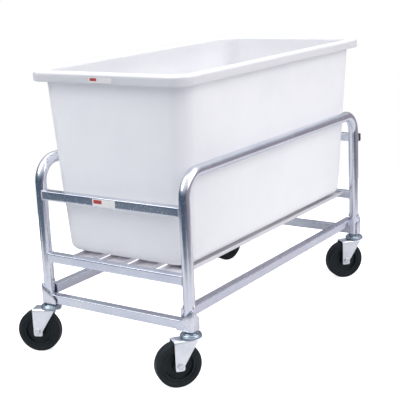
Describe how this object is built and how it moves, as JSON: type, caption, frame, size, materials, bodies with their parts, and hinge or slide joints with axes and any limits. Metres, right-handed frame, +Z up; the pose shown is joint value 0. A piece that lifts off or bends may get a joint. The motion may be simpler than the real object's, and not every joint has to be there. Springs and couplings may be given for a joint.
{
  "type": "tub cart",
  "caption": "Open rectangular tub with a rolled rim, standing in a welded tube chassis with raised side hoops, a slatted deck and swivel casters.",
  "frame": {"origin": "under the middle of the object's box, on the floor that the wheels stand on", "axes": "+X to the right-hand side of the cart, +Y to the rear along its length, +Z up"},
  "size_m": [0.6206, 1.1424, 0.8227],
  "materials": {
    "aluminium_tube": "brushed",
    "aluminium_bar": "brushed",
    "aluminium_slat": "mill",
    "bright_zinc": "zinc plated",
    "fork_zinc": "bright zinc plated",
    "dark_plating": "zinc plated, in shade",
    "tyre_rubber": "hard rubber",
    "core_rubber": "moulded",
    "black_plastic": "moulded",
    "socket_plastic": "moulded",
    "tub_polyethylene": "natural, slightly waxy",
    "label_film": "film"
  },
  "bodies": {
    "chassis": {"side_hoop_left": "aluminium_tube", "side_hoop_right": "aluminium_tube", "front_upper_bar": "aluminium_bar", "rear_upper_bar": "aluminium_bar", "front_deck_bar": "aluminium_bar", "rear_deck_bar": "aluminium_bar", "front_bottom_bar": "aluminium_bar", "rear_bottom_bar": "aluminium_bar", "bottom_rail_left": "aluminium_bar", "bottom_rail_right": "aluminium_bar", "end_plug_left": "black_plastic", "end_plug_right": "black_plastic", "bar_label": "label_film", "deck_slat_1": "aluminium_slat", "deck_slat_2": "aluminium_slat", "deck_slat_3": "aluminium_slat", "deck_slat_4": "aluminium_slat", "corner_bracket_front_left": "aluminium_tube", "post_rivet_front_left": "bright_zinc", "swivel_race_front_left": "dark_plating", "stem_socket_front_left": "socket_plastic", "corner_bracket_front_right": "aluminium_tube", "post_rivet_front_right": "bright_zinc", "swivel_race_front_right": "dark_plating", "stem_socket_front_right": "socket_plastic", "corner_bracket_rear_left": "aluminium_tube", "post_rivet_rear_left": "bright_zinc", "swivel_race_rear_left": "dark_plating", "stem_socket_rear_left": "socket_plastic", "corner_bracket_rear_right": "aluminium_tube", "post_rivet_rear_right": "bright_zinc", "swivel_race_rear_right": "dark_plating", "stem_socket_rear_right": "socket_plastic"},
    "lift_out_tub": {"tub": "tub_polyethylene", "rim_label": "label_film"},
    "caster_front_left": {"fork_front_left": "fork_zinc", "axle_bolt_front_left": "bright_zinc", "axle_nut_front_left": "bright_zinc", "axle_sleeve_front_left": "bright_zinc"},
    "wheel_front_left": {"tyre_front_left": "tyre_rubber", "wheel_core_front_left": "core_rubber"},
    "caster_front_right": {"fork_front_right": "fork_zinc", "axle_bolt_front_right": "bright_zinc", "axle_nut_front_right": "bright_zinc", "axle_sleeve_front_right": "bright_zinc"},
    "wheel_front_right": {"tyre_front_right": "tyre_rubber", "wheel_core_front_right": "core_rubber"},
    "caster_rear_left": {"fork_rear_left": "fork_zinc", "axle_bolt_rear_left": "bright_zinc", "axle_nut_rear_left": "bright_zinc", "axle_sleeve_rear_left": "bright_zinc"},
    "wheel_rear_left": {"tyre_rear_left": "tyre_rubber", "wheel_core_rear_left": "core_rubber"},
    "caster_rear_right": {"fork_rear_right": "fork_zinc", "axle_bolt_rear_right": "bright_zinc", "axle_nut_rear_right": "bright_zinc", "axle_sleeve_rear_right": "bright_zinc"},
    "wheel_rear_right": {"tyre_rear_right": "tyre_rubber", "wheel_core_rear_right": "core_rubber"}
  },
  "joints": [
    {"name": "tub_lift", "type": "slide", "parent": "chassis", "child": "lift_out_tub", "axis": [0, 0, 1], "range_m": [0, 0.3]},
    {"name": "swivel_front_left", "type": "hinge", "parent": "chassis", "child": "caster_front_left", "pos_m": [-0.21175, -0.48237, 0.13469], "axis": [0, 0, 1], "continuous": true},
    {"name": "roll_front_left", "type": "hinge", "parent": "caster_front_left", "child": "wheel_front_left", "pos_m": [-0.24857, -0.498, 0.06319], "axis": [-0.3907, 0.9205, 0], "continuous": true},
    {"name": "swivel_front_right", "type": "hinge", "parent": "chassis", "child": "caster_front_right", "pos_m": [0.28025, -0.48237, 0.13469], "axis": [0, 0, 1], "continuous": true},
    {"name": "roll_front_right", "type": "hinge", "parent": "caster_front_right", "child": "wheel_front_right", "pos_m": [0.25618, -0.51432, 0.06319], "axis": [-0.7986, 0.6018, 0], "continuous": true},
    {"name": "swivel_rear_left", "type": "hinge", "parent": "chassis", "child": "caster_rear_left", "pos_m": [-0.21175, 0.52963, 0.13469], "axis": [0, 0, 1], "continuous": true},
    {"name": "roll_rear_left", "type": "hinge", "parent": "caster_rear_left", "child": "wheel_rear_left", "pos_m": [-0.2221, 0.49099, 0.06319], "axis": [-0.9659, 0.2588, 0], "continuous": true},
    {"name": "swivel_rear_right", "type": "hinge", "parent": "chassis", "child": "caster_rear_right", "pos_m": [0.28025, 0.52963, 0.13469], "axis": [0, 0, 1], "continuous": true},
    {"name": "roll_rear_right", "type": "hinge", "parent": "caster_rear_right", "child": "wheel_rear_right", "pos_m": [0.25508, 0.49854, 0.06319], "axis": [-0.7771, 0.6293, 0], "continuous": true}
  ]
}
